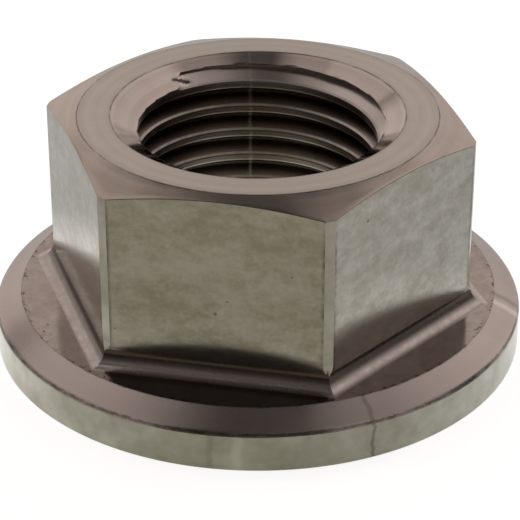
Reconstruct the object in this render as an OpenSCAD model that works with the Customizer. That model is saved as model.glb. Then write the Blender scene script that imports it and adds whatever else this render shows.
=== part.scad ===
/* [Thread] */
// Nominal diameter of the thread in the bore
thread_d = 12; // [10:0.5:13]
// Pitch of the thread
thread_pitch = 1.25; // [0.75:0.25:1.75]
// How far the top countersink opens past the thread's nominal radius
top_sink = 0.54; // [0.2:0.02:1]
// How far the countersink in the bearing face opens past the thread's nominal radius
bottom_sink = 0.5; // [0.2:0.02:1.5]
// Included angle of both countersinks
sink_angle = 120; // [90:1:130]

/* [Hex] */
// Height of the whole nut, from the bearing face to the top
nut_h = 11; // [8:0.25:18]
// Width across two opposite wrench flats
across_flats = 17; // [16.5:0.25:18.5]
// Flat land left by the turned barrel at each of the six corners
corner_land = 0.45; // [0.1:0.05:1.2]
// Radius that the milling cutter leaves at the foot of each wrench flat
flat_foot_r = 0.7; // [0.3:0.05:0.9]
// Radius turned at the foot of the barrel, which shows only below the corners
barrel_foot_r = 0.7; // [0.5:0.05:1.3]
// How far the circle where the top chamfer starts stands inside the wrench flats
chamfer_inset = 0.5; // [0.1:0.05:0.9]
// Slope of the top chamfer, from the horizontal
chamfer_angle = 19; // [10:1:35]

/* [Flange] */
// Diameter of the flange
flange_d = 24; // [23.5:0.25:32]
// Height of the flange's upright rim
rim_h = 1.85; // [1:0.05:4]
// Width of the flange's sloping upper face, from the rim in to the milled floor round the hex
slope_w = 1.18; // [0.8:0.02:1.3]
// Slope of that face, from the horizontal
slope_angle = 28; // [18:1:34]
// Bevel that breaks the flange's two outer edges
edge_break = 0.12; // [0.05:0.01:0.3]

/* [Hidden] */
$fn = 128;
// How far a cutter runs past the surface it cuts
past = 1;
flats = 6;
// A basic metric thread is five eighths as deep as its sharp V
thread_depth = 5 / 8 * thread_pitch * sqrt(3) / 2;
bore_r = thread_d / 2 - thread_depth;
flat_r = across_flats / 2;
flange_r = flange_d / 2;
top_ring_r = flat_r - chamfer_inset;
floor_z = rim_h + slope_w * tan(slope_angle);
// The barrel is turned smaller than the sharp hex, which leaves the lands at its corners
barrel_r = norm([(flat_r - corner_land / 2 * sin(30)) / cos(30), corner_land / 2]);

// Height of the flange's sloping face at a distance from the axis
function slope_z(r) = rim_h + (flange_r - r) * tan(slope_angle);
// Height of the top chamfer at a distance from the axis
function chamfer_z(r) = nut_h - (r - top_ring_r) * tan(chamfer_angle);
// Depth below its face at which a countersink of this mouth radius reaches the given radius
function sink_depth(mouth_r, r) = (mouth_r - r) / tan(sink_angle / 2);

// Half section of the flange: upright rim with broken edges, and a face sloping up to the barrel
module flange_section() {
    polygon([
        [0, 0],
        [flange_r - edge_break, 0],
        [flange_r, edge_break],
        [flange_r, rim_h - edge_break],
        [flange_r - edge_break, slope_z(flange_r - edge_break)],
        [barrel_r, slope_z(barrel_r)],
        [0, slope_z(barrel_r)],
    ]);
}

// Half section of the barrel that the hex is milled from, chamfered at the top
module barrel_section() {
    polygon([
        [0, 0],
        [barrel_r, 0],
        [barrel_r, chamfer_z(barrel_r)],
        [top_ring_r, nut_h],
        [0, nut_h],
    ]);
}

// Half section of the turned radius that runs from the barrel into the sloping face
module barrel_foot_section() {
    centre_r = barrel_r + barrel_foot_r;
    centre_z = slope_z(centre_r) + barrel_foot_r / cos(slope_angle);
    end_r = centre_r - barrel_foot_r * sin(slope_angle);
    difference() {
        polygon([
            [0, 0],
            [end_r, 0],
            [end_r, slope_z(end_r)],
            [centre_r, centre_z],
            [0, centre_z],
        ]);
        translate([centre_r, centre_z]) circle(barrel_foot_r);
    }
}

// The turned blank, before its flats are milled and its bore is tapped
module turned_blank() {
    rotate_extrude() {
        flange_section();
        barrel_section();
        barrel_foot_section();
    }
}

// What one pass of the milling cutter takes off: all that lies outside a flat and above the floor
module flat_cutter() {
    reach = flange_r + past;
    foot_r = flat_r + flat_foot_r;
    foot_z = floor_z + flat_foot_r;
    rotate([90, 0, 0])
        linear_extrude(height = 2 * reach, center = true) {
            translate([foot_r, floor_z]) square([reach, nut_h]);
            translate([flat_r, foot_z]) square([reach, nut_h]);
            translate([foot_r, foot_z]) circle(flat_foot_r);
        }
}

// A countersink, standing on its mouth at the height zero and going up from there
module sink(open) {
    mouth_r = thread_d / 2 + open;
    outer_r = mouth_r + past;
    translate([0, 0, -sink_depth(outer_r, mouth_r)])
        cylinder(r1 = outer_r, r2 = bore_r, h = sink_depth(outer_r, bore_r));
}

// The bore at the thread's minor diameter, countersunk at both ends
module tapping_bore() {
    translate([0, 0, -past]) cylinder(r = bore_r, h = nut_h + 2 * past);
    sink(bottom_sink);
    translate([0, 0, nut_h]) mirror([0, 0, 1]) sink(top_sink);
}

module nut() {
    color("dimgray")
        difference() {
            turned_blank();
            for (i = [0 : flats - 1])
                rotate(90 + i * 360 / flats) flat_cutter();
            tapping_bore();
        }
}

nut();
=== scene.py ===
import bpy
import bmesh
import math
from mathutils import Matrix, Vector


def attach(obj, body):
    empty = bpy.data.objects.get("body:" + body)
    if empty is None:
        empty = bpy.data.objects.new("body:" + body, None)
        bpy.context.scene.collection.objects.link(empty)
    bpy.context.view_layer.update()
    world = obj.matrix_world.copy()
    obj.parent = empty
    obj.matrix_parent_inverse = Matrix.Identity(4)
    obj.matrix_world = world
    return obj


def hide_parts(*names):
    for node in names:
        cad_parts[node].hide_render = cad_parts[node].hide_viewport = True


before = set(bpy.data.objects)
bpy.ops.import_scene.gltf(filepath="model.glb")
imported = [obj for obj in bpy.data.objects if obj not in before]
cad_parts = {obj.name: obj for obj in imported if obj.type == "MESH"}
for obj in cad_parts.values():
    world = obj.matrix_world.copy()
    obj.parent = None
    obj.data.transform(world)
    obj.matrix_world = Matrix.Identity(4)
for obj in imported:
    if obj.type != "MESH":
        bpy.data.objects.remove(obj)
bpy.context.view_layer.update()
mm = 0.001
halfFlat = 30.0  # degrees from the middle of a flat to its corner
white = (1.0, 1.0, 1.0, 1.0)

# sizes of the solid, in millimetres and degrees
nutSizes = {
    "height": 11.0,
    "acrossFlats": 17.0,
    "cornerLand": 0.45,
    "flatFootRadius": 0.7,
    "barrelFootRadius": 0.7,
    "chamferInset": 0.5,
    "chamferSlope": 19.0,
    "flangeDiameter": 24.0,
    "rimHeight": 1.85,
    "slopeWidth": 1.18,
    "slopeAngle": 28.0,
    "edgeBreak": 0.12,
    "edgeRound": 0.03,  # how far the other sharp edges are worn round
    "flats": 6,
}

threadSizes = {
    "diameter": 12.0,
    "pitch": 1.25,
    "topSink": 0.54,
    "bottomSink": 0.5,
    "sinkAngle": 120.0,
    "rootHeight": 10.135,  # height of a groove's middle where the helix crosses +X
    "crestRound": 0.035,
    "columns": 264,  # as many as six flats have, so that bore and body weld
    "rowsPerPitch": 32,  # a multiple of eight, so that a row lies on each edge of the crest
    "tail": (139.0, 146.0),  # angles between which the last groove dies out on the countersink
    # the chip torn out of the countersink, from its upper to its lower end: angle round the axis and height
    "chipFrom": (146.5, 10.54),
    "chipTo": (136.5, 10.33),
    "chipDepth": 0.08,
    "chipHalf": 0.08,
}


def tanDeg(angle):
    return math.tan(math.radians(angle))


def hexShape(s):
    # what follows from the named sizes
    shape = dict(s)
    shape["flatR"] = s["acrossFlats"] / 2
    shape["flangeR"] = s["flangeDiameter"] / 2
    shape["ringR"] = shape["flatR"] - s["chamferInset"]
    shape["floorZ"] = s["rimHeight"] + s["slopeWidth"] * tanDeg(s["slopeAngle"])
    shape["creaseR"] = shape["flangeR"] - s["slopeWidth"]
    half = s["cornerLand"] / 2
    turn = math.radians(halfFlat)
    cornerX = (shape["flatR"] - half * math.sin(turn)) / math.cos(turn)
    shape["barrelR"] = math.hypot(cornerX, half)
    shape["landAngle"] = halfFlat - math.degrees(math.atan2(half, cornerX))
    return shape


def threadShape(t):
    shape = dict(t)
    sharpHeight = t["pitch"] * math.sqrt(3) / 2
    shape["majorR"] = t["diameter"] / 2
    shape["minorR"] = shape["majorR"] - sharpHeight * 5 / 8
    shape["sharpR"] = shape["majorR"] + sharpHeight / 8
    shape["topMouthR"] = shape["majorR"] + t["topSink"]
    shape["bottomMouthR"] = shape["majorR"] + t["bottomSink"]
    shape["sinkRun"] = tanDeg(t["sinkAngle"] / 2)
    return shape


hexNut = hexShape(nutSizes)
bore = threadShape(threadSizes)


def barrelFoot():
    # centre of the turned radius below the barrel, and where it runs out on the sloping face
    n = hexNut
    slope = math.radians(n["slopeAngle"])
    foot = n["barrelFootRadius"]
    centreR = n["barrelR"] + foot
    centreZ = n["rimHeight"] + (n["flangeR"] - centreR) * math.tan(slope) + foot / math.cos(slope)
    endR = centreR - foot * math.sin(slope)
    endZ = n["rimHeight"] + (n["flangeR"] - endR) * math.tan(slope)
    return centreR, centreZ, endZ


def blankRadius(z):
    # outside of the turned blank at a height: barrel, turned foot, then the sloping face
    n = hexNut
    centreR, centreZ, endZ = barrelFoot()
    if z >= centreZ:
        return n["barrelR"]
    if z >= endZ:
        return centreR - math.sqrt(max(0.0, n["barrelFootRadius"] ** 2 - (centreZ - z) ** 2))
    return n["flangeR"] - (z - n["rimHeight"]) / tanDeg(n["slopeAngle"])


def flatDistance(z):
    # distance of a milled flat from the axis at a height, with the radius at its foot
    n = hexNut
    foot = n["flatFootRadius"]
    drop = n["floorZ"] + foot - z
    if drop <= 0:
        return n["flatR"]
    return n["flatR"] + foot - math.sqrt(max(0.0, foot ** 2 - drop ** 2))


def wallRadius(z, phi):
    return min(blankRadius(z), flatDistance(z) / math.cos(phi))


def softCorner(before, corner, after, reach, steps):
    # a worn edge: a short curve that cuts the corner between two straight runs
    a = Vector(before) - Vector(corner)
    b = Vector(after) - Vector(corner)
    longest = 0.45  # share of a run that the curve may take
    start = Vector(corner) + a.normalized() * min(reach, a.length * longest)
    end = Vector(corner) + b.normalized() * min(reach, b.length * longest)
    points = []
    for i in range(steps + 1):
        t = i / steps
        points.append(start * (1 - t) ** 2 + Vector(corner) * 2 * t * (1 - t) + end * t ** 2)
    return points


def between(a, b, count):
    # points strictly inside a straight run
    return [Vector(a).lerp(Vector(b), (i + 1) / (count + 1)) for i in range(count)]


finishNames = ["ring", "turned", "chamfer", "milled", "fillet", "floor", "rim", "bearing"]

# how finely the half section is divided: points inside each band, steps round a corner
bandRows = {
    "ring": 4,
    "chamfer": 3,
    "flat": 6,
    "foot": 14,
    "floor": 2,
    "slope": 4,
    "rim": 4,
    "bearing": 5,
    "corner": 2,
    "chamferCorner": 3,
}
footShares = (0.0, 0.25, 0.5, 0.75)  # rows between the barrel's end and the cutter's radius
rowGap = 0.05  # how far a row keeps from a height where the form changes


def sectorColumn(phi):
    # one half section of the nut outside its bore: (radius, height), finish of the band that follows
    n = hexNut
    top = n["height"]
    worn = n["edgeRound"]
    mouth = bore["topMouthR"]
    lowMouth = bore["bottomMouthR"]
    sunk = worn * bore["sinkRun"]
    lipIn, lipDown = worn * 0.25, worn * 0.08  # the middle of a mouth's worn edge
    wallR = min(n["barrelR"], n["flatR"] / math.cos(phi))
    wallTop = top - (wallR - n["ringR"]) * tanDeg(n["chamferSlope"])
    corner = bandRows["corner"]
    rows = []

    def add(points, finish):
        rows.extend(((p[0], p[1]), finish) for p in points)

    add([(mouth - sunk, top - worn), (mouth - lipIn, top - lipDown), (mouth + worn, top)], "ring")
    add(between((mouth + worn, top), (n["ringR"] - worn, top), bandRows["ring"]), "ring")
    ringEdge = (n["ringR"], top)
    chamferEnd = (wallR, wallTop)
    add(softCorner((mouth, top), ringEdge, chamferEnd, worn * 1.5, corner), "ring")
    add(between(ringEdge, chamferEnd, bandRows["chamfer"]), "chamfer")
    edge = softCorner(ringEdge, chamferEnd, (wallR, 0), worn * 1.3, bandRows["chamferCorner"])
    add(edge[:2], "chamfer")
    add(edge[2:], "milled")
    footTop = barrelFoot()[1] + rowGap
    flatEnd = n["floorZ"] + n["flatFootRadius"]
    add(between((wallR, edge[-1][1]), (wallR, footTop), bandRows["flat"]), "milled")
    for share in footShares:
        z = footTop + (flatEnd - footTop) * share
        add([(wallRadius(z, phi), z)], "milled")
    steps = bandRows["foot"]
    for i in range(steps + 1):
        z = n["floorZ"] + n["flatFootRadius"] * (1 - math.cos(math.radians(90 * (1 - i / steps))))
        add([(wallRadius(z, phi), z)], "fillet" if i < steps else "floor")
    crease = (n["creaseR"], n["floorZ"])
    add(between(rows[-1][0], crease, bandRows["floor"]), "floor")
    add([crease], "turned")
    breakZ = n["rimHeight"] + n["edgeBreak"] * tanDeg(n["slopeAngle"])
    breakIn = (n["flangeR"] - n["edgeBreak"], breakZ)
    breakOut = (n["flangeR"], n["rimHeight"] - n["edgeBreak"])
    add(between(crease, breakIn, bandRows["slope"]), "turned")
    add(softCorner(crease, breakIn, breakOut, worn, corner), "turned")
    add(softCorner(breakIn, breakOut, (n["flangeR"], 0), worn, corner), "rim")
    lowIn = (n["flangeR"] - n["edgeBreak"], 0)
    lowOut = (n["flangeR"], n["edgeBreak"])
    add(between(breakOut, lowOut, bandRows["rim"]), "rim")
    add(softCorner(breakOut, lowOut, lowIn, worn, corner), "rim")
    add(softCorner(lowOut, lowIn, (lowMouth, 0), worn, corner), "bearing")
    add(between(lowIn, (lowMouth + worn, 0), bandRows["bearing"]), "bearing")
    add([(lowMouth + worn, 0), (lowMouth - lipIn, lipDown), (lowMouth - sunk, worn)], "bearing")
    return rows


# columns across half a flat: on its inner two thirds, on the outer third (as shares of it), and on half a corner land
flatColumns = {"inner": 11, "outer": (0.28, 0.5, 0.68, 0.82, 0.93, 1.0), "land": 5}
evenRows = 7  # rows from a mouth over which the columns go over from an even spread


def columnAngles():
    # angles across one flat, closer together where the corner lands are; six flats have as many as the bore
    land = hexNut["landAngle"]
    inner = flatColumns["inner"]
    outer = flatColumns["land"]
    half = [land * 2 / 3 * i / inner for i in range(inner + 1)]
    half += [land * (2 + t) / 3 for t in flatColumns["outer"]]
    half += [land + (halfFlat - land) * (i + 1) / outer for i in range(outer)]
    return [-a for a in reversed(half[1:])] + half


def makeSector():
    angles = columnAngles()
    columns = [sectorColumn(math.radians(a)) for a in angles]
    rowCount = len(columns[0])
    mesh = bpy.data.meshes.new("nutSector")
    work = bmesh.new()
    finish = work.faces.layers.int.new("finish")
    grid = []
    for j, angle in enumerate(angles):
        even = -halfFlat + 2 * halfFlat * j / (len(angles) - 1)
        line = []
        for k in range(rowCount):
            r, z = columns[j][k][0]
            # near both mouths the columns spread evenly, to meet those of the bore
            share = min(1.0, k / evenRows) * min(1.0, (rowCount - 1 - k) / evenRows)
            turn = math.radians(even * (1 - share) + angle * share)
            line.append(work.verts.new((r * mm * math.cos(turn), r * mm * math.sin(turn), z * mm)))
        grid.append(line)
    for j in range(len(angles) - 1):
        middle = math.radians((angles[j] + angles[j + 1]) / 2)
        for k in range(rowCount - 1):
            face = work.faces.new((grid[j][k], grid[j][k + 1], grid[j + 1][k + 1], grid[j + 1][k]))
            face.smooth = True
            name = columns[j][k][1]
            z = (columns[j][k][0][1] + columns[j][k + 1][0][1]) / 2
            turned = name in ("milled", "fillet") and blankRadius(z) < flatDistance(z) / math.cos(middle)
            onLand = turned and z > hexNut["floorZ"] + rowGap
            face[finish] = finishNames.index("rim" if onLand else name)
    work.to_mesh(mesh)
    work.free()
    return mesh


print("stage: frame loaded, sizes of the nut")


class treeMaker:
    # adds nodes to a tree and joins them, one call for each node
    def __init__(self, tree):
        self.tree = tree

    def node(self, kind, inputs=None, **settings):
        made = self.tree.nodes.new(kind)
        for key, value in settings.items():
            setattr(made, key, value)
        for key, value in (inputs or {}).items():
            self.feed(made.inputs[key], value)
        return made

    def feed(self, socket, value):
        if isinstance(value, bpy.types.NodeSocket):
            self.tree.links.new(value, socket)
        else:
            socket.default_value = value

    def math(self, operation, *values):
        return self.node("ShaderNodeMath", dict(enumerate(values)), operation=operation).outputs[0]

    def plus(self, first, second):
        return self.math("ADD", first, second)

    def minus(self, first, second):
        return self.math("SUBTRACT", first, second)

    def times(self, first, second):
        return self.math("MULTIPLY", first, second)

    def larger(self, first, second):
        return self.math("MAXIMUM", first, second)

    def apart(self, first, second):
        return self.math("ABSOLUTE", self.minus(first, second))

    def vector(self, operation, *values):
        made = self.node("ShaderNodeVectorMath", dict(enumerate(values)), operation=operation)
        return made.outputs["Value" if operation in ("DOT_PRODUCT", "LENGTH") else "Vector"]

    def parts(self, vector):
        return self.node("ShaderNodeSeparateXYZ", {"Vector": vector}).outputs

    def fromAxis(self, parts):
        return self.math("SQRT", self.plus(self.math("POWER", parts[0], 2.0), self.math("POWER", parts[1], 2.0)))

    def noise(self, vector, size, detail, roughness):
        # size of a patch in millimetres
        inputs = {"Vector": vector, "Scale": 1 / (size * mm), "Detail": detail, "Roughness": roughness}
        return self.node("ShaderNodeTexNoise", inputs).outputs[0]

    def rings(self, along, size, detail):
        inputs = {"W": along, "Scale": 1 / (size * mm), "Detail": detail}
        return self.node("ShaderNodeTexNoise", inputs, noise_dimensions="1D").outputs[0]

    def stretch(self, value, low, high, newLow=0.0, newHigh=1.0, **settings):
        inputs = {"Value": value, "From Min": low, "From Max": high, "To Min": newLow, "To Max": newHigh}
        return self.node("ShaderNodeMapRange", inputs, **settings).outputs[0]

    def blend(self, share, first, second):
        made = self.node("ShaderNodeMix", data_type="RGBA")
        self.feed(made.inputs[0], share)
        self.feed(made.inputs[6], first)
        self.feed(made.inputs[7], second)
        return made.outputs[2]

    def dress(self, geometry, material, chosen=True):
        inputs = {"Geometry": geometry, "Selection": chosen, "Material": material}
        return self.node("GeometryNodeSetMaterial", inputs).outputs[0]


def newMaterial(name):
    material = bpy.data.materials.new(name)
    material.use_nodes = True
    material.node_tree.nodes.clear()
    make = treeMaker(material.node_tree)
    return material, make, make.node("ShaderNodeTexCoord").outputs["Object"]


def finishMetal(make, look, color, roughness, height, turned=True):
    # the shader that every finish of the nut ends in; turned metal stretches its highlights across the marks
    depth = look["bumpDepth"] * mm
    bump = make.node("ShaderNodeBump", {"Height": height, "Distance": depth, "Strength": look["bumpStrength"]})
    inputs = {"Base Color": color, "Roughness": roughness, "Metallic": 1.0, "Normal": bump.outputs[0]}
    shader = make.node("ShaderNodeBsdfPrincipled", inputs)
    if turned:
        shader.inputs["Anisotropic"].default_value = look["streak"]
        shader.inputs["Anisotropic Rotation"].default_value = look["streakTurn"]
        tangent = make.node("ShaderNodeTangent", direction_type="RADIAL", axis="Z")
        make.feed(shader.inputs["Tangent"], tangent.outputs[0])
    out = make.node("ShaderNodeOutputMaterial")
    make.feed(out.inputs["Surface"], shader.outputs[0])


def colorOf(rgb):
    return (rgb[0], rgb[1], rgb[2], 1.0)


# what all milled metal shares; sizes in millimetres
cutLook = {
    "smooth": 0.12,
    "rough": 0.17,
    "cloud": 4,  # a cloud is this many times as large as a blotch
    "flatten": 1.7,  # both are this much wider than high
    "grain": 0.22,
    "shares": (0.5, 0.3, 0.2),  # of blotches, clouds and grain in the mottling
    "contrast": (0.39, 0.61),  # mottling at which the metal is deepest and palest
    "sheen": (0.4, 0.6),  # mottling at which it is roughest and smoothest
    # one pit in each cell whose chance is high enough, the larger the higher
    "pit": {"apart": 0.55, "chance": 0.86, "size": 0.16, "dark": 0.6, "color": (0.1, 0.085, 0.07), "depth": 1.5},
    "grainDepth": 0.35,
    "bumpDepth": 0.008,
    "bumpStrength": 0.06,
}

milledLook = dict(cutLook, pale=(0.545, 0.535, 0.505), deep=(0.395, 0.375, 0.325), blotch=0.8)
# the line beside each corner land: how far inside the land's edge it starts and is full
milledLook["land"] = {
    "at": hexNut["flatR"] * tanDeg(hexNut["landAngle"]),
    "starts": 0.16,
    "full": 0.03,
    "patch": 0.8,
    "strength": (0.1, 0.75),
    "color": (0.12, 0.1, 0.08),
}

# the flange's milled floor, painted pinkish: a painted reflection of the pinkish light of the studio
floorLook = dict(cutLook, pale=(0.45, 0.395, 0.37), deep=(0.35, 0.30, 0.275), blotch=0.6)
floorLook["burr"] = {
    "at": hexNut["creaseR"],
    "reach": 0.4,
    "size": 0.3,
    "more": 0.2,  # how much likelier a speck is at the crease
    "above": 0.72,
    "dark": 0.75,
    "color": (0.08, 0.06, 0.05),
}

# the cutter's radius at the foot of the flats, left rougher than they are; its paler, pinkish colour is a painted
# reflection of the studio's pinkish light
filletLook = dict(cutLook, pale=(0.60, 0.56, 0.54), deep=(0.50, 0.455, 0.435), blotch=0.4, smooth=0.25, rough=0.34)
# painted shade on the fillet's upper part: heights where it starts and is full, and its colour
filletLook["stain"] = {"from": hexNut["floorZ"] + 0.15, "to": hexNut["floorZ"] + 0.45, "color": (0.13, 0.102, 0.088)}


def landLine(make, land, spot, parts, color):
    # a dark broken line along each side of a flat, where its corner land begins
    angle = make.plus(make.math("ARCTAN2", parts[1], parts[0]), math.radians(360))
    local = make.minus(make.math("MODULO", angle, math.radians(2 * halfFlat)), math.radians(halfFlat))
    beside = make.math("ABSOLUTE", make.times(make.math("TANGENT", local), hexNut["flatR"] * mm))
    worn = make.stretch(make.noise(spot, land["patch"], 3.0, 0.65), 0.35, 0.65, *land["strength"])
    line = make.stretch(beside, (land["at"] - land["starts"]) * mm, (land["at"] - land["full"]) * mm)
    return make.blend(make.times(line, worn), color, colorOf(land["color"]))


def creaseSpecks(make, burr, spot, color):
    # specks of torn metal beside the crease
    reach = make.vector("LENGTH", make.vector("MULTIPLY", spot, (1.0, 1.0, 0.0)))
    near = make.stretch(reach, (burr["at"] - burr["reach"]) * mm, burr["at"] * mm, 0.0, burr["more"])
    specks = make.math("GREATER_THAN", make.plus(make.noise(spot, burr["size"], 4.0, 0.7), near), burr["above"])
    return make.blend(make.times(specks, burr["dark"]), color, colorOf(burr["color"]))


def milledMetal(look, name):
    material, make, spot = newMaterial(name)
    parts = make.parts(spot)
    wide = make.node("ShaderNodeMapping", {"Vector": spot, "Scale": (1.0, 1.0, look["flatten"])}).outputs[0]
    blotches = make.noise(wide, look["blotch"], 5.0, 0.68)
    clouds = make.noise(wide, look["blotch"] * look["cloud"], 2.0, 0.5)
    grain = make.noise(spot, look["grain"], 2.0, 0.6)
    mixed = [make.times(layer, share) for layer, share in zip((blotches, clouds, grain), look["shares"])]
    mottling = make.plus(make.plus(mixed[0], mixed[1]), mixed[2])
    color = make.blend(make.stretch(mottling, *look["contrast"]), colorOf(look["deep"]), colorOf(look["pale"]))
    pit = look["pit"]
    cells = make.node("ShaderNodeTexVoronoi", {"Vector": spot, "Scale": 1 / (pit["apart"] * mm)}).outputs
    size = make.stretch(make.parts(cells["Color"])[0], pit["chance"], 1.0, 0.0, pit["size"])
    pits = make.math("LESS_THAN", cells["Distance"], size)
    color = make.blend(make.times(pits, pit["dark"]), color, colorOf(pit["color"]))
    if "land" in look:
        color = landLine(make, look["land"], spot, parts, color)
    if "burr" in look:
        color = creaseSpecks(make, look["burr"], spot, color)
    if "stain" in look:
        # painted shade: darker towards the flat, over the upper part of the fillet
        stain = look["stain"]
        color = make.blend(make.stretch(parts[2], stain["from"] * mm, stain["to"] * mm), color, colorOf(stain["color"]))
    roughness = make.stretch(mottling, *look["sheen"], look["rough"], look["smooth"])
    height = make.plus(blotches, make.times(grain, look["grainDepth"]))
    height = make.minus(height, make.times(pits, pit["depth"]))
    finishMetal(make, look, color, roughness, height, turned=False)
    return material


turnedLook = {
    "pale": (0.56, 0.51, 0.49),
    "deep": (0.49, 0.44, 0.415),
    "roughness": 0.29,
    "roughSpan": 0.04,  # how much rougher or smoother a smear is
    "groove": 0.06,  # distance between two turning marks in millimetres
    "band": 8,  # a band is as wide as this many marks
    "bandShare": 0.5,  # how much of the mottling runs in rings
    "smear": 1.6,  # size of a smear in millimetres
    "streak": 0.87,
    "streakTurn": 0.25,
    "bumpDepth": 0.004,
    "bumpStrength": 0.12,
    # painted shade: dark lines where the surface turns a corner (top ring, countersink, crease and the rim's bevel),
    # standing in for the dark that the worn edges mirror
    "shadeLines": (hexNut["ringR"], bore["topMouthR"], hexNut["creaseR"], hexNut["flangeR"] - hexNut["edgeBreak"] / 2),
    "lineWidth": 0.045,
    "lineWander": 0.09,
    "lineRagged": 0.25,  # size of a line's teeth
    "linePatch": 0.9,  # size of its breaks
    "shadeLineDark": 0.7,
    "shadeLineColor": (0.06, 0.045, 0.035),
    "streaksFrom": hexNut["creaseR"],
    "streaks": (
        # -54 is a dark scratch; 5 is a painted dark reflection, 1.5 a painted highlight
        {"at": -54.0, "half": 0.8, "strength": 0.4, "color": (0.16, 0.14, 0.12)},
        {"at": 5.0, "half": 1.4, "strength": 0.4, "color": (0.16, 0.14, 0.12)},
        {"at": 1.5, "half": 1.6, "strength": 0.5, "color": (0.9, 0.86, 0.84)},
    ),
}
streakBend = {"size": 0.6, "turn": 1.6}  # how a streak wanders: millimetres along it, degrees aside


def paintedEdgeShade(make, look, radius, spot):
    # how much painted edge shade lies at a point: ragged, and broken up along its length
    found = 0.0
    wide = look["lineWidth"]
    ragged = make.minus(make.noise(spot, look["lineRagged"], 3.0, 0.7), 0.5)
    ragged = make.times(ragged, look["lineWander"] * mm)
    for line in look["shadeLines"]:
        near = make.stretch(make.apart(make.plus(radius, ragged), line * mm), wide * 0.5 * mm, wide * mm, 1.0, 0.0)
        found = make.larger(near, found)
    broken = make.stretch(make.noise(spot, look["linePatch"], 3.0, 0.6), 0.35, 0.6, 0.35, 1.0)
    return make.times(make.times(found, broken), look["shadeLineDark"])


def streakedAndLit(make, look, parts, radius, color):
    # streaks at given angles round the axis, outside a given radius: dark scratches, painted highlights and painted
    # dark reflections
    wobble = make.rings(make.plus(radius, parts[2]), streakBend["size"], 2.0)
    bend = make.times(make.minus(wobble, 0.5), math.radians(streakBend["turn"]))
    angle = make.plus(make.math("ARCTAN2", parts[1], parts[0]), bend)
    outside = make.math("GREATER_THAN", radius, look["streaksFrom"] * mm)
    for streak in look["streaks"]:
        off = make.apart(angle, math.radians(streak["at"]))
        half = streak["half"]
        share = make.stretch(off, math.radians(half * 0.3), math.radians(half), streak["strength"], 0.0)
        color = make.blend(make.times(share, outside), color, colorOf(streak["color"]))
    return color


def tornShare(make, torn, parts, radius):
    # painted shade where metal is torn out of the cone, near the chip
    run = make.times(make.minus(hexNut["height"] * mm, parts[2]), bore["sinkRun"])
    excess = make.minus(radius, make.minus(bore["topMouthR"] * mm, run))
    share = make.stretch(excess, torn["starts"] * mm, torn["full"] * mm, 0.0, torn["dark"])
    middle = (bore["chipFrom"][0] + bore["chipTo"][0]) / 2
    aside = make.apart(make.math("ARCTAN2", parts[1], parts[0]), math.radians(middle))
    return make.times(share, make.math("LESS_THAN", aside, math.radians(torn["half"])))


def turnedMetal(look, name):
    material, make, spot = newMaterial(name)
    parts = make.parts(spot)
    radius = make.fromAxis(parts)
    along = make.plus(radius, parts[2])  # grows outwards on a face and upwards on a wall
    rings = make.rings(along, look["groove"], 3.0)
    bands = make.rings(along, look["groove"] * look["band"], 2.0)
    smear = make.noise(spot, look["smear"], 3.0, 0.6)
    share = make.plus(make.times(bands, look["bandShare"]), make.times(smear, 1 - look["bandShare"]))
    color = make.blend(make.stretch(share, 0.35, 0.65), colorOf(look["deep"]), colorOf(look["pale"]))
    span = look["roughSpan"]
    roughness = make.stretch(smear, 0.3, 0.7, look["roughness"] - span, look["roughness"] + span)
    if look["shadeLines"]:
        # painted shade along the corners' dark lines
        color = make.blend(paintedEdgeShade(make, look, radius, spot), color, colorOf(look["shadeLineColor"]))
    color = streakedAndLit(make, look, parts, radius, color)
    if "torn" in look:
        color = make.blend(tornShare(make, look["torn"], parts, radius), color, colorOf(look["torn"]["color"]))
    finishMetal(make, look, color, roughness, rings)
    return material


# a painted highlight down the far side of the countersink and the bore
farHighlight = {"at": 105.7, "half": 1.0, "strength": 0.3, "color": (0.95, 0.93, 0.8)}
ringLook = dict(turnedLook, pale=(0.505, 0.475, 0.44), deep=(0.425, 0.395, 0.355), streaks=())
ringLook.update(roughness=0.21, streak=0.72)
# the bearing face's line of painted shade lies at the lower countersink's mouth
bearingLook = dict(turnedLook, shadeLines=(bore["bottomMouthR"],), streaks=())
chamferLook = dict(turnedLook, pale=(0.53, 0.475, 0.435), deep=(0.46, 0.405, 0.36), roughness=0.2, streaks=())
sinkLook = dict(turnedLook, pale=(0.54, 0.49, 0.465), deep=(0.47, 0.415, 0.385))
sinkLook.update(roughness=0.09, streak=0.7, streaksFrom=0.0, streaks=(farHighlight,))
# painted shade in the chip: how deep in it the metal starts to be dark and is darkest, and how far round from its
# middle
sinkLook["torn"] = {"starts": 0.025, "full": 0.05, "dark": 0.92, "half": 6.5, "color": (0.03, 0.022, 0.018)}

rimLook = dict(turnedLook, pale=(0.585, 0.58, 0.555), deep=(0.42, 0.41, 0.37), shadeLines=(), streaksFrom=0.0)
rimLook.update(roughness=0.2, groove=0.08, bandShare=0.1, streak=0.6, bumpDepth=0.003, bumpStrength=0.08)
rimLook["streaks"] = (
    # -54 is the same dark scratch, -82 a painted highlight, -87.5 a darker streak
    {"at": -54.0, "half": 0.6, "strength": 0.55, "color": (0.16, 0.14, 0.12)},
    {"at": -82.0, "half": 1.6, "strength": 0.35, "color": (0.85, 0.84, 0.8)},
    {"at": -87.5, "half": 1.0, "strength": 0.25, "color": (0.2, 0.18, 0.15)},
)

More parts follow.
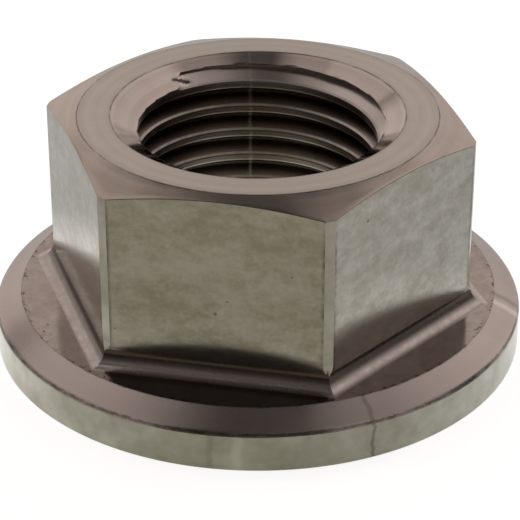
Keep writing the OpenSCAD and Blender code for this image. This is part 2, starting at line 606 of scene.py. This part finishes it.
threadLook = {
    "crest": (0.34, 0.295, 0.26),
    "edge": (0.92, 0.87, 0.82),  # painted highlight on the worn edge of the crest, where it catches the light
    "flank": (0.42, 0.36, 0.32),
    # painted shade: the flanks darken to this at the groove's root
    "groove": (0.11, 0.09, 0.075),
    "edgeDepth": (0.003, 0.01, 0.08, 0.13),  # where the edge starts, is full, fades and ends, in mm from the crest
    "rootDepth": 0.5,  # where a flank is as dark as the groove's root: painted shade down the flank
    "firstFade": (0.02, 0.12),  # heights above the first crest over which its flank turns pale: painted light
    "smear": 0.5,
    "highlightPatches": (0.3, 0.6, 0.45, 1.0),  # from the smear to how bright the painted highlight on the edge is
    "crestRoughness": 0.25,
    "edgeRoughness": 0.5,
    "streaksFrom": 0.0,
    "streaks": (farHighlight,),
    "streak": 0.4,
    "streakTurn": 0.25,
    "bumpDepth": 0.004,
    "bumpStrength": 0.2,
}


def threadMetal(look, name):
    # bright worn edges between dark crests and dark grooves: painted highlights on the edges and painted shade down
    # into the grooves; the first flank is painted as pale as the countersink, painted light
    material, make, spot = newMaterial(name)
    parts = make.parts(spot)
    radius = make.fromAxis(parts)
    smear = make.noise(spot, look["smear"], 3.0, 0.6)
    depth = make.minus(radius, bore["minorR"] * mm)
    starts, full, fades, ends = (d * mm for d in look["edgeDepth"])
    edge = make.times(make.stretch(depth, starts, full), make.stretch(depth, fades, ends, 1.0, 0.0))
    edge = make.times(edge, make.stretch(smear, *look["highlightPatches"]))
    # painted shade: darker down the flank towards the root
    darker = make.stretch(depth, ends, look["rootDepth"] * mm)
    flank = make.blend(darker, colorOf(look["flank"]), colorOf(look["groove"]))
    color = make.blend(make.stretch(depth, fades, ends), colorOf(look["crest"]), flank)
    color = make.blend(edge, color, colorOf(look["edge"]))
    # height above the helix of the first crest; the seam of the angle lies at -Y, out of sight
    angle = make.math("ARCTAN2", parts[0], make.times(parts[1], -1.0))
    angle = make.math("MODULO", make.plus(angle, 2 * math.pi), 2 * math.pi)
    climb = make.times(make.minus(angle, math.pi / 2), bore["pitch"] * mm / (2 * math.pi))
    above = make.minus(make.minus(parts[2], climb), (bore["rootHeight"] - bore["pitch"] / 2) * mm)
    first = make.stretch(above, look["firstFade"][0] * mm, look["firstFade"][1] * mm)
    # painted light: the first flank as pale as the countersink
    color = make.blend(first, color, colorOf(turnedLook["pale"]))
    color = streakedAndLit(make, look, parts, radius, color)
    roughness = make.stretch(edge, 0.0, 1.0, look["crestRoughness"], look["edgeRoughness"])
    finishMetal(make, look, color, roughness, smear)
    return material


finishes = {
    "ring": turnedMetal(ringLook, "ringMetal"),
    "turned": turnedMetal(turnedLook, "turnedMetal"),
    "chamfer": turnedMetal(chamferLook, "chamferMetal"),
    "sink": turnedMetal(sinkLook, "sinkMetal"),
    "milled": milledMetal(milledLook, "milledMetal"),
    "floor": milledMetal(floorLook, "floorMetal"),
    "fillet": milledMetal(filletLook, "filletMetal"),
    "rim": turnedMetal(rimLook, "rimMetal"),
    "bearing": turnedMetal(bearingLook, "bearingMetal"),
    "thread": threadMetal(threadLook, "threadMetal"),
}
print("stage: finishes")

weldGap = 0.0015 * mm
smoothBelow = 26.0  # edges that turn by more than this stay sharp


def newTree(name, wholes, lengths):
    # a tree for a mesh; wholes name its whole-number inputs, lengths its lengths, shares and angles
    tree = bpy.data.node_groups.new(name, "GeometryNodeTree")
    sockets = [("Geometry", "NodeSocketGeometry")]
    sockets += [(label, "NodeSocketInt") for label in wholes]
    sockets += [(label, "NodeSocketFloat") for label in lengths]
    for label, kind in sockets:
        tree.interface.new_socket(name=label, in_out="INPUT", socket_type=kind)
    tree.interface.new_socket(name="Geometry", in_out="OUTPUT", socket_type="NodeSocketGeometry")
    tree.is_modifier = True
    make = treeMaker(tree)
    return tree, make, make.node("NodeGroupInput").outputs


def plainMesh(name, mesh, tree, values):
    # runs the tree on the mesh and keeps only the result
    holder = bpy.data.objects.new(name + "Maker", mesh)
    bpy.context.scene.collection.objects.link(holder)
    modifier = holder.modifiers.new("made", "NODES")
    modifier.node_group = tree
    ids = {item.name: item.identifier for item in tree.interface.items_tree if item.in_out == "INPUT"}
    for label, value in values.items():
        modifier[ids[label]] = value
    depsgraph = bpy.context.evaluated_depsgraph_get()
    result = bpy.data.meshes.new_from_object(holder.evaluated_get(depsgraph), depsgraph=depsgraph)
    holder.modifiers.remove(modifier)
    bpy.data.objects.remove(holder)
    return result


def sixSides(values):
    # repeats the sector of one flat round the axis and dresses each face by its finish
    tree, make, given = newTree("nutBody", ["Flats"], ["First Flat", "Weld"])
    points = make.node("GeometryNodePoints", {"Count": given["Flats"]})
    index = make.node("GeometryNodeInputIndex").outputs[0]
    turn = make.plus(given["First Flat"], make.times(index, make.math("DIVIDE", 2 * math.pi, given["Flats"])))
    copies = make.node("GeometryNodeInstanceOnPoints", {
        "Points": points.outputs[0],
        "Instance": given["Geometry"],
        "Rotation": make.node("ShaderNodeCombineXYZ", {"Z": turn}).outputs[0],
    })
    real = make.node("GeometryNodeRealizeInstances", {"Geometry": copies.outputs[0]})
    flow = make.node("GeometryNodeMergeByDistance", {"Geometry": real.outputs[0], "Distance": given["Weld"]}).outputs[0]
    finish = make.node("GeometryNodeInputNamedAttribute", {"Name": "finish"}, data_type="INT").outputs["Attribute"]
    for i, name in enumerate(finishNames):
        chosen = make.node("FunctionNodeCompare", data_type="INT", operation="EQUAL")
        make.feed(chosen.inputs[2], finish)
        make.feed(chosen.inputs[3], i)
        flow = make.dress(flow, finishes[name], chosen.outputs[0])
    make.node("NodeGroupOutput", {"Geometry": flow})
    return plainMesh("nutBody", makeSector(), tree, values)


# how the chip runs, in shares of its length and half width
chipShape = {
    "bend": 5.0,  # radians of the wave that makes it crooked
    "sway": 0.7,
    "floor": 0.2,  # the middle that is cut to the full depth
    "opens": (-0.1, 0.12),
    "closes": (0.88, 1.1),
    "deepens": (0.0, 0.7, 0.45, 1.0),  # from where to where, and from which share of the depth
    "dark": 0.3,  # depth from which a face is dressed as countersink metal, which paints the chip's shade
}


def chipNick(make, given, turn, height):
    # the chip is a crooked nick that runs down the countersink: how deep it is at a point
    length = make.minus(given["Chip End"], given["Chip Start"])
    along = make.math("DIVIDE", make.minus(turn, given["Chip Start"]), length)
    wave = make.math("SINE", make.times(along, chipShape["bend"]))
    crook = make.times(wave, make.times(given["Chip Half"], chipShape["sway"]))
    line = make.plus(make.minus(given["Chip Top"], make.times(along, given["Chip Fall"])), crook)
    beside = make.math("DIVIDE", make.apart(height, line), given["Chip Half"])
    ends = make.times(make.stretch(along, *chipShape["opens"]), make.stretch(along, *chipShape["closes"], 1.0, 0.0))
    deeper = make.times(ends, make.stretch(along, *chipShape["deepens"]))
    return make.times(make.stretch(beside, chipShape["floor"], 1.0, 1.0, 0.0), deeper)


def threadedBore(values):
    # a grid whose rows climb with the thread; each point moves out to the groove or the countersink
    tree, make, given = newTree("threadedBore", ["Columns", "Rows", "Rows Below"], [
        "Row Rise", "Pitch", "Root Height", "Minor Radius", "Major Radius", "Sharp Radius", "Crest Round",
        "Top", "Worn Edge", "Top Mouth", "Bottom Mouth", "Sink Run", "Tail Start", "Tail End",
        "Chip Start", "Chip End", "Chip Top", "Chip Fall", "Chip Half", "Chip Depth", "Weld",
    ])
    grid = make.node("GeometryNodeMeshGrid", {
        "Size X": 1.0,
        "Size Y": 1.0,
        "Vertices X": make.plus(given["Columns"], 1.0),
        "Vertices Y": make.plus(given["Rows"], 1.0),
    })
    place = make.parts(make.node("GeometryNodeInputPosition").outputs[0])
    turn = make.plus(place[0], 0.5)
    row = make.math("ROUND", make.times(make.plus(place[1], 0.5), given["Rows"]))
    climb = make.plus(given["Root Height"], make.times(given["Pitch"], turn))
    free = make.plus(climb, make.times(make.minus(row, given["Rows Below"]), given["Row Rise"]))
    highest = make.minus(given["Top"], given["Worn Edge"])
    height = make.math("MINIMUM", make.larger(free, given["Worn Edge"]), highest)
    # the basic profile: from the sharp root inwards down a 60 degree flank, cut off at crest and root
    turns = make.math("DIVIDE", make.minus(height, climb), given["Pitch"])
    nearest = make.math("ROUND", turns)
    fall = make.times(make.times(make.apart(turns, nearest), given["Pitch"]), math.sqrt(3))
    vee = make.minus(given["Sharp Radius"], fall)
    crested = make.math("SMOOTH_MAX", vee, given["Minor Radius"], given["Crest Round"])
    groove = make.math("SMOOTH_MIN", crested, given["Major Radius"], given["Crest Round"])
    # the last groove dies out on the countersink
    tail = make.stretch(make.plus(turn, nearest), given["Tail Start"], given["Tail End"], 1.0, 0.0)
    depth = make.times(make.minus(groove, given["Minor Radius"]), tail)
    groove = make.plus(given["Minor Radius"], depth)

    def cones(z):
        # radii of the upper and the lower countersink at a height
        top = make.minus(given["Top Mouth"], make.times(make.minus(given["Top"], z), given["Sink Run"]))
        low = make.minus(given["Bottom Mouth"], make.times(z, given["Sink Run"]))
        return top, low

    topSink, lowSink = cones(height)
    radius = make.larger(make.larger(groove, topSink), lowSink)
    nick = chipNick(make, given, turn, height)
    radius = make.plus(radius, make.times(nick, given["Chip Depth"]))
    angle = make.times(turn, 2 * math.pi)
    spot = make.node("ShaderNodeCombineXYZ", {
        "X": make.times(radius, make.math("COSINE", angle)),
        "Y": make.times(radius, make.math("SINE", angle)),
        "Z": height,
    }).outputs[0]
    named = {"Geometry": grid.outputs[0], "Name": "chip"}
    marked = make.node("GeometryNodeStoreNamedAttribute", named, data_type="FLOAT", domain="POINT")
    make.feed(marked.inputs["Value"], nick)
    moved = make.node("GeometryNodeSetPosition", {"Geometry": marked.outputs[0], "Position": spot})
    welded = make.node("GeometryNodeMergeByDistance", {"Geometry": moved.outputs[0], "Distance": given["Weld"]})
    smooth = make.node("GeometryNodeSetShadeSmooth", {"Geometry": welded.outputs[0]})
    real = make.node("GeometryNodeRealizeInstances", {"Geometry": smooth.outputs[0]})
    flow = make.dress(real.outputs[0], finishes["thread"])
    # faces on a countersink, and those of the chip
    seat = make.parts(make.node("GeometryNodeInputPosition").outputs[0])
    topCone, lowCone = cones(seat[2])
    gap = make.apart(make.fromAxis(seat), make.larger(topCone, lowCone))
    flow = make.dress(flow, finishes["sink"], make.math("LESS_THAN", gap, given["Worn Edge"]))
    torn = make.node("GeometryNodeInputNamedAttribute", {"Name": "chip"}, data_type="FLOAT").outputs["Attribute"]
    flow = make.dress(flow, finishes["sink"], make.math("GREATER_THAN", torn, chipShape["dark"]))
    clean = make.node("GeometryNodeRemoveAttribute", {"Geometry": flow, "Name": "chip"})
    make.node("NodeGroupOutput", {"Geometry": clean.outputs[0]})
    return plainMesh("threadedBore", bpy.data.meshes.new("boreStart"), tree, values)


def weldedNut(meshes, slots):
    # joins body and bore into one closed skin
    work = bmesh.new()
    for mesh in meshes:
        before = len(work.faces)
        work.from_mesh(mesh)
        work.faces.ensure_lookup_table()
        for face in work.faces[before:]:
            face.material_index = slots.index(mesh.materials[face.material_index])
    bmesh.ops.remove_doubles(work, verts=work.verts, dist=weldGap)
    bmesh.ops.dissolve_degenerate(work, edges=work.edges, dist=weldGap * 0.1)
    bmesh.ops.recalc_face_normals(work, faces=work.faces)
    openEdges = sum(1 for e in work.edges if len(e.link_faces) != 2)
    for edge in work.edges:
        edge.smooth = len(edge.link_faces) == 2 and edge.calc_face_angle(0.0) < math.radians(smoothBelow)
    for face in work.faces:
        face.smooth = True
    mesh = bpy.data.meshes.new("sprocketNut")
    work.to_mesh(mesh)
    print("stage: nut welded,", len(work.verts), "points,", len(work.faces), "faces,", openEdges, "open edges")
    work.free()
    for material in slots:
        mesh.materials.append(material)
    return mesh


bodyMesh = sixSides({
    "Flats": hexNut["flats"],
    "First Flat": math.radians(90.0),
    "Weld": weldGap,
})

rowRise = bore["pitch"] / bore["rowsPerPitch"]
rowsBelow = math.ceil((bore["rootHeight"] + bore["pitch"]) / rowRise)
rowsAbove = math.ceil((hexNut["height"] - bore["rootHeight"]) / rowRise)
boreMesh = threadedBore({
    "Columns": bore["columns"],
    "Rows": rowsBelow + rowsAbove,
    "Rows Below": rowsBelow,
    "Row Rise": rowRise * mm,
    "Pitch": bore["pitch"] * mm,
    "Root Height": bore["rootHeight"] * mm,
    "Minor Radius": bore["minorR"] * mm,
    "Major Radius": bore["majorR"] * mm,
    "Sharp Radius": bore["sharpR"] * mm,
    "Crest Round": bore["crestRound"] * mm,
    "Top": hexNut["height"] * mm,
    "Worn Edge": hexNut["edgeRound"] * mm,
    "Top Mouth": bore["topMouthR"] * mm,
    "Bottom Mouth": bore["bottomMouthR"] * mm,
    "Sink Run": bore["sinkRun"],
    "Tail Start": bore["tail"][0] / 360,
    "Tail End": bore["tail"][1] / 360,
    "Chip Start": bore["chipFrom"][0] / 360,
    "Chip End": bore["chipTo"][0] / 360,
    "Chip Top": bore["chipFrom"][1] * mm,
    "Chip Fall": (bore["chipFrom"][1] - bore["chipTo"][1]) * mm,
    "Chip Half": bore["chipHalf"] * mm,
    "Chip Depth": bore["chipDepth"] * mm,
    "Weld": weldGap,
})

nutMesh = weldedNut([bodyMesh, boreMesh], list(finishes.values()))
nut = bpy.data.objects.new("sprocketNut", nutMesh)
bpy.context.scene.collection.objects.link(nut)
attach(nut, "root")
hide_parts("nut")

cameraLook = {
    "focal": 2205.0,  # in pixels of a 520 pixel frame
    "frame": 520.0,
    "sensor": 36.0,
    "distance": 100.0,
    "elevation": 28.15,
    "aimHeight": 5.5,
    "pitch": 29.16,
    "turn": 12.2,  # to the right of the flat that faces -Y
    "shift": 0.004,
    "clip": (0.001, 20.0),
}


def placeCamera(c):
    angle = math.radians(c["turn"] - 90)
    rise = math.radians(c["elevation"])
    reach = c["distance"] * math.cos(rise)
    height = c["distance"] * math.sin(rise) + c["aimHeight"]
    pitch = math.radians(c["pitch"])
    look = Vector((-math.cos(angle) * math.cos(pitch), -math.sin(angle) * math.cos(pitch), -math.sin(pitch)))
    data = bpy.data.cameras.new("view")
    data.sensor_width = c["sensor"]
    data.lens = c["focal"] / c["frame"] * c["sensor"]
    data.shift_x = c["shift"]
    data.clip_start, data.clip_end = c["clip"]
    camera = bpy.data.objects.new("view", data)
    camera.location = Vector((reach * math.cos(angle), reach * math.sin(angle), height)) * mm
    camera.rotation_euler = look.to_track_quat("-Z", "Y").to_euler()
    bpy.context.scene.collection.objects.link(camera)
    bpy.context.scene.camera = camera


placeCamera(cameraLook)

studio = {
    "floorColor": (0.8, 0.8, 0.79),
    "floorHalf": 1.5,  # in metres
    "floorDrop": 0.02,
    "floorGlow": 0.82,  # what the camera sees on top of the lit floor
    # painted light on the floor that only the metal's reflections see, in the glows below
    "paleSide": 20.0,  # the floor that the metal mirrors is palest to this side, in degrees right of straight ahead
    "paleGlow": (0.33, 0.37, 0.395),
    "middleGlow": (0.32, 0.33, 0.31),
    "dimGlow": (0.15, 0.155, 0.09),
    "footGlow": (0.58, 0.57, 0.55),  # more of it round the nut's foot, least of all at the front
    "footReach": (13.0, 18.0),  # distances from the axis over which that ends
    "footSide": 170.0,
    "footFront": 0.07,
    "skyColor": (1.0, 0.87, 0.81),
    "baseLevel": 0.045,
}


def towardSide(turn):
    # level direction at an angle to the right of straight ahead
    angle = math.radians(cameraLook["turn"] + 90 - turn)
    return (math.cos(angle), math.sin(angle), 0.0)


def makeFloor(s):
    half = s["floorHalf"]
    z = -s["floorDrop"] * mm
    mesh = bpy.data.meshes.new("floor")
    mesh.from_pydata([(-half, -half, z), (half, -half, z), (half, half, z), (-half, half, z)], [], [(0, 1, 2, 3)])
    material, make, spot = newMaterial("floorPaper")
    # painted light: the floor glows for the metal's reflections only, palest to one side, dimmest at the front, and
    # more round the nut's foot
    way = make.vector("NORMALIZE", spot)
    facing = make.vector("DOT_PRODUCT", way, towardSide(s["paleSide"]))
    mirrored = make.blend(make.stretch(facing, -1.0, 0.0), colorOf(s["dimGlow"]), colorOf(s["middleGlow"]))
    mirrored = make.blend(make.stretch(facing, 0.0, 1.0), mirrored, colorOf(s["paleGlow"]))
    near = make.stretch(make.vector("LENGTH", spot), s["footReach"][0] * mm, s["footReach"][1] * mm, 1.0, 0.0)
    front = make.vector("DOT_PRODUCT", way, towardSide(s["footSide"]))
    foot = make.node("ShaderNodeVectorMath", {0: s["footGlow"]}, operation="SCALE")
    make.feed(foot.inputs["Scale"], make.times(near, make.stretch(front, 0.0, 1.0, 1.0, s["footFront"])))
    mirrored = make.vector("ADD", mirrored, foot.outputs[0])
    rays = make.node("ShaderNodeLightPath").outputs
    seen = make.blend(rays["Is Camera Ray"], mirrored, colorOf((s["floorGlow"],) * 3))
    shown = make.larger(rays["Is Camera Ray"], make.larger(rays["Is Glossy Ray"], rays["Is Transmission Ray"]))
    paper = make.node("ShaderNodeBsdfDiffuse", {"Color": colorOf(s["floorColor"])})
    glow = make.node("ShaderNodeEmission", {"Color": seen, "Strength": shown})
    both = make.node("ShaderNodeAddShader", {0: paper.outputs[0], 1: glow.outputs[0]})
    out = make.node("ShaderNodeOutputMaterial")
    make.feed(out.inputs["Surface"], both.outputs[0])
    mesh.materials.append(material)
    floor = bpy.data.objects.new("floor", mesh)
    bpy.context.scene.collection.objects.link(floor)


makeFloor(studio)

# panels of soft light on the studio's walls and ceiling: where each one's middle is, in degrees right of
# straight ahead and above the floor, half its size, how softly it ends, and how bright it is
panels = {
    "backdrop": {"turn": 5, "height": 0, "wide": 62, "tall": 8, "soft": 5, "level": 0.56},
    "back": {"turn": 10, "height": 23, "wide": 42, "tall": 20, "soft": 9, "level": 0.70},
    "rightBack": {"turn": 50, "height": 30, "wide": 22, "tall": 32, "soft": 9, "level": 0.75},
    "leftBack": {"turn": -25, "height": 13, "wide": 25, "tall": 14, "soft": 7, "level": 0.74},
    "leftHigh": {"turn": -52, "height": 47, "wide": 24, "tall": 18, "soft": 5, "level": 0.66},
    "leftSide": {"turn": -100, "height": 32, "wide": 38, "tall": 32, "soft": 9, "level": 0.42},
    "rightSide": {"turn": 122, "height": 32, "wide": 27, "tall": 36, "soft": 10, "level": 0.38},
    "rightHigh": {"turn": 90, "height": 46, "wide": 24, "tall": 22, "soft": 9, "level": 0.36},
    "leftTop": {"turn": -62, "height": 67, "wide": 26, "tall": 13, "soft": 8, "level": 0.48},
    "rightTop": {"turn": 50, "height": 66, "wide": 30, "tall": 13, "soft": 8, "level": 0.42},
    "frontHigh": {"turn": 172, "height": 50, "wide": 24, "tall": 10, "soft": 8, "level": 0.15},
    "backHigh": {"turn": 0, "height": 62, "wide": 22, "tall": 6, "soft": 7, "level": 0.15},
    "zenith": {"turn": 0, "height": 90, "wide": 200, "tall": 11, "soft": 7, "level": 0.12},
}


def makeWorld(s):
    world = bpy.data.worlds.new("studio")
    world.use_nodes = True
    world.node_tree.nodes.clear()
    make = treeMaker(world.node_tree)

    def within(offset, half, soft):
        inner, outer = math.radians(half - soft), math.radians(half + soft)
        return make.stretch(offset, inner, outer, 1.0, 0.0, interpolation_type="SMOOTHSTEP")

    way = make.node("ShaderNodeTexCoord").outputs["Generated"]
    level = make.vector("NORMALIZE", make.vector("MULTIPLY", way, (1.0, 1.0, 0.0)))
    rise = make.math("ARCSINE", make.parts(way)[2])
    light = s["baseLevel"]
    for panel in panels.values():
        aside = make.math("ARCCOSINE", make.vector("DOT_PRODUCT", level, towardSide(panel["turn"])))
        across = within(aside, panel["wide"], panel["soft"])
        upward = within(make.apart(rise, math.radians(panel["height"])), panel["tall"], panel["soft"])
        light = make.larger(light, make.times(make.times(across, upward), panel["level"]))
    seen = make.node("ShaderNodeLightPath").outputs["Is Camera Ray"]
    color = make.blend(seen, colorOf(s["skyColor"]), white)
    ground = make.node("ShaderNodeBackground", {"Color": color, "Strength": make.larger(light, seen)})
    out = make.node("ShaderNodeOutputWorld")
    make.feed(out.inputs["Surface"], ground.outputs[0])
    bpy.context.scene.world = world


makeWorld(studio)
print("stage: camera, floor and light")

bpy.context.scene.view_settings.view_transform = "Standard"
